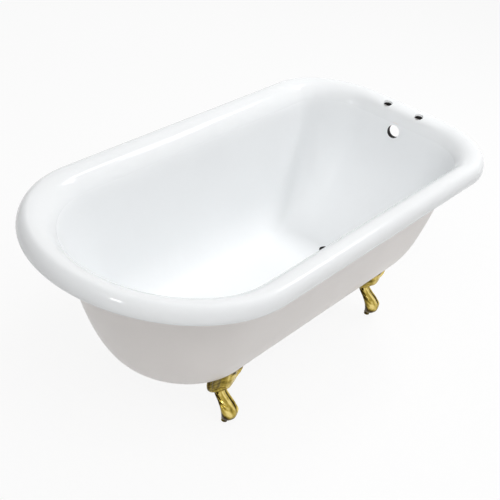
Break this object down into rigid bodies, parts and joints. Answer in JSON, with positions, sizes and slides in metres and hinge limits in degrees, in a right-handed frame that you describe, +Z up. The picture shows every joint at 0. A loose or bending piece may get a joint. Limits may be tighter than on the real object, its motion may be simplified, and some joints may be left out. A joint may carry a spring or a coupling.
{
  "type": "freestanding bathtub",
  "caption": "Free-standing roll-top bathtub of white enamelled cast iron, with one sloping round end, one upright end with tap holes, and brass claw feet.",
  "frame": {"origin": "on the floor, below the middle of the tub's rolled rim", "axes": "+X along the tub towards its flat end with the tap holes, +Z up, +Y towards the left side of a bather who faces the taps"},
  "size_m": [1.676, 0.762, 0.605],
  "materials": {
    "enamel": "glossy white enamel inside and over the rim, satin off-white paint outside",
    "foot_brass": "polished brass with darker hollows",
    "steel": "zinc-plated steel",
    "screw_brass": "satin brass"
  },
  "bodies": {
    "tub": {"tub_shell": "enamel", "foot_back_right": "foot_brass", "foot_back_left": "foot_brass", "foot_tap_right": "foot_brass", "foot_tap_left": "foot_brass", "stud_back_right": "steel", "stud_back_left": "steel", "stud_tap_right": "steel", "stud_tap_left": "steel", "washer_back_right": "steel", "washer_back_left": "steel", "washer_tap_right": "steel", "washer_tap_left": "steel", "nut_back_right": "steel", "nut_back_left": "steel", "nut_tap_right": "steel", "nut_tap_left": "steel", "lock_nut_back_right": "screw_brass", "lock_nut_back_left": "screw_brass", "lock_nut_tap_right": "screw_brass", "lock_nut_tap_left": "screw_brass"},
    "screw_back_right": {"levelling_screw_back_right": "screw_brass"},
    "screw_back_left": {"levelling_screw_back_left": "screw_brass"},
    "screw_tap_right": {"levelling_screw_tap_right": "screw_brass"},
    "screw_tap_left": {"levelling_screw_tap_left": "screw_brass"}
  },
  "joints": [
    {"name": "level_back_right", "type": "slide", "parent": "tub", "child": "screw_back_right", "axis": [0, 0, 1], "range_m": [-0.015, 0.0015]},
    {"name": "level_back_left", "type": "slide", "parent": "tub", "child": "screw_back_left", "axis": [0, 0, 1], "range_m": [-0.015, 0.0015]},
    {"name": "level_tap_right", "type": "slide", "parent": "tub", "child": "screw_tap_right", "axis": [0, 0, 1], "range_m": [-0.015, 0.0015]},
    {"name": "level_tap_left", "type": "slide", "parent": "tub", "child": "screw_tap_left", "axis": [0, 0, 1], "range_m": [-0.015, 0.0015]}
  ]
}
